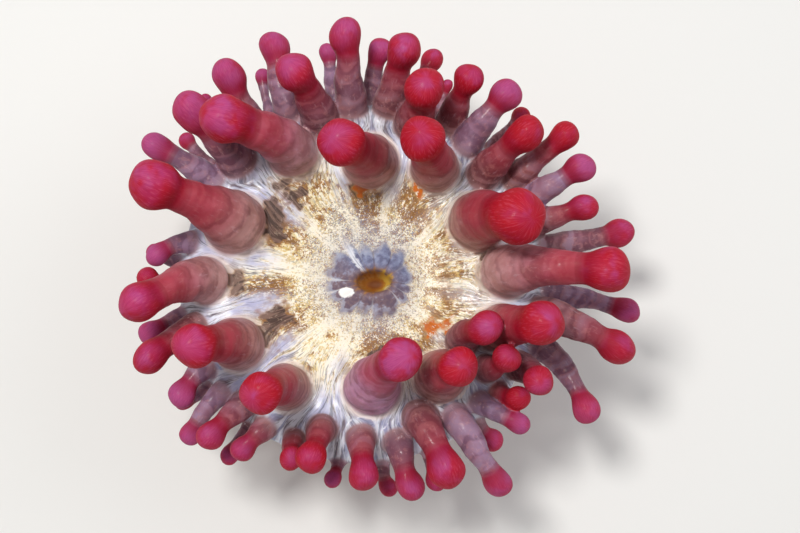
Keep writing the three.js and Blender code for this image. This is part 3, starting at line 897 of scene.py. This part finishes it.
        # Painted glow: scarlet on the sides that don't face up, and more towards +X.
        scarlet = (third + self.x * 0.0012 - self.upward * 0.12 - self.lilac * 0.05).step(0.35, 0.53)
        colour = self.mix(scarlet * 0.8, colour, tint("ac0f20"))
        colour = self.mix(self.mauve * (other.step(0.3, 0.6) * 0.3 + 0.35), colour, tint("a84c80"))
        colour = self.mix(self.tip_lines.step(0.52, 0.64) * 0.16, colour, tint("d8708e"))
        colour = self.mix(self.tip_lines.step(0.47, 0.36) * 0.2, colour, tint("6e0a20"))
        return self.mix(self.from_tip.step(1.0, 1.8) * 0.7, colour, tint("8c0d26"))

    def finish(self):
        """The whole material: the body's and the tentacles' colours, wet gloss, and fine bumps."""
        top = (self.z + self.reach.step(20, 14) * 14).step(56, 62)
        body = self.mix(top, self.column(), self.crown(self.lips(self.disc())))
        colour = self.mix(self.from_tip.step(2.15, 1.75), self.shaft(), self.club())
        colour = self.mix(self.tentacle, body, colour)
        grain = self.noise(self.place, 0.9, 3, 0.6)
        on_club = self.tentacle * self.from_tip.step(2.2, 1.4)
        gloss = 0.25 - self.tentacle * 0.12 - on_club * 0.10
        relief = grain * 0.25 + self.wide_strands * (1 - self.tentacle) * self.reach.step(18, 38)
        relief = relief + self.tip_lines * on_club * 0.3 + self.lines * self.z.step(56, 48) * 0.5
        bump = self.make("ShaderNodeBump", {"Strength": 0.4, "Distance": 0.0006, "Height": relief})
        surface = self.make("ShaderNodeBsdfPrincipled", {
            "Base Color": colour,
            "Roughness": 0.42 + 0.2 * grain + self.z.step(40, 10) * 0.2 + on_club * 0.12,
            "Subsurface Weight": 0.15,
            "Subsurface Radius": (1.0, 0.5, 0.4),
            "Subsurface Scale": 0.002,
            "Coat Weight": self.z.step(20, 60) * self.reach.step(14, 40) * gloss,
            "Coat Roughness": 0.16,
            "IOR": 1.25,
            "Normal": bump,
        }, settings={"subsurface_method": "RANDOM_WALK"})
        self.node("ShaderNodeOutputMaterial", {"Surface": surface})
        return self.owner


skin.data.materials.clear()
skin.data.materials.append(SkinGraph().finish())
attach(skin, "root")
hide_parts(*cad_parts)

# ---------------------------------------------------------------- floor and light


def floor_material():
    """Pale, and far from the animal as white to the eye as the world behind it."""
    g = Graph(bpy.data.materials.new("studio_floor"))
    pale = {"Base Color": (0.82, 0.82, 0.81, 1.0), "Roughness": 0.8}
    surface = g.make("ShaderNodeBsdfPrincipled", pale)
    white = g.make("ShaderNodeEmission", {"Color": (1.0, 1.0, 1.0, 1.0), "Strength": 0.95})
    x, y, _ = g.parts(g.make("ShaderNodeTexCoord", {}, "Object"))
    wide = (x.squared() + y.squared()) ** 0.5
    far = wide.step(0.25, 1.1) * g.make("ShaderNodeLightPath", {}, "Is Camera Ray")
    both = g.make("ShaderNodeMixShader", {0: far, 1: surface, 2: white})
    g.node("ShaderNodeOutputMaterial", {"Surface": both})
    return g.owner


FLOOR_HALF = 4
corners = [(x * FLOOR_HALF, y * FLOOR_HALF, 0) for x, y in ((-1, -1), (1, -1), (1, 1), (-1, 1))]
floor_mesh = bpy.data.meshes.new("studio_floor")
floor_mesh.from_pydata(corners, [], [(0, 1, 2, 3)])
floor = bpy.data.objects.new("studio_floor", floor_mesh)
floor.data.materials.append(floor_material())
bpy.context.scene.collection.objects.link(floor)

LIT = Vector((0, 0, 0.06))  # the point that the lamps face


def softbox(name, place, size, power, warmth):
    """A round lamp that faces the animal."""
    data = bpy.data.lights.new(name, "AREA")
    data.shape = "DISK"
    data.size = size
    data.energy = power
    data.color = warmth
    light = bpy.data.objects.new(name, data)
    light.location = place
    light.rotation_euler = (LIT - Vector(place)).to_track_quat("-Z", "Y").to_euler()
    bpy.context.scene.collection.objects.link(light)


softbox("key", (-0.22, 0.14, 0.98), 0.22, 6.8, (1.0, 0.98, 0.94))
softbox("fill", (0.7, 0.25, 0.7), 0.8, 2.2, (0.95, 0.97, 1.0))

# The world is plain white to the eye, and lights the animal more softly than it looks.
SOFT_LEVEL = 0.36
sky = Graph(bpy.data.worlds.new("studio"))
rays = ("Is Camera Ray", "Is Glossy Ray", "Is Transmission Ray")
camera_ray, glossy_ray, transmission_ray = [sky.make("ShaderNodeLightPath", {}, ray) for ray in rays]
level = (camera_ray + glossy_ray + transmission_ray) * (1 - SOFT_LEVEL) + SOFT_LEVEL
backdrop = sky.make("ShaderNodeBackground", {"Color": (1, 1, 1, 1), "Strength": level})
sky.node("ShaderNodeOutputWorld", {"Surface": backdrop})
bpy.context.scene.world = sky.owner
bpy.context.scene.view_settings.view_transform = "Standard"
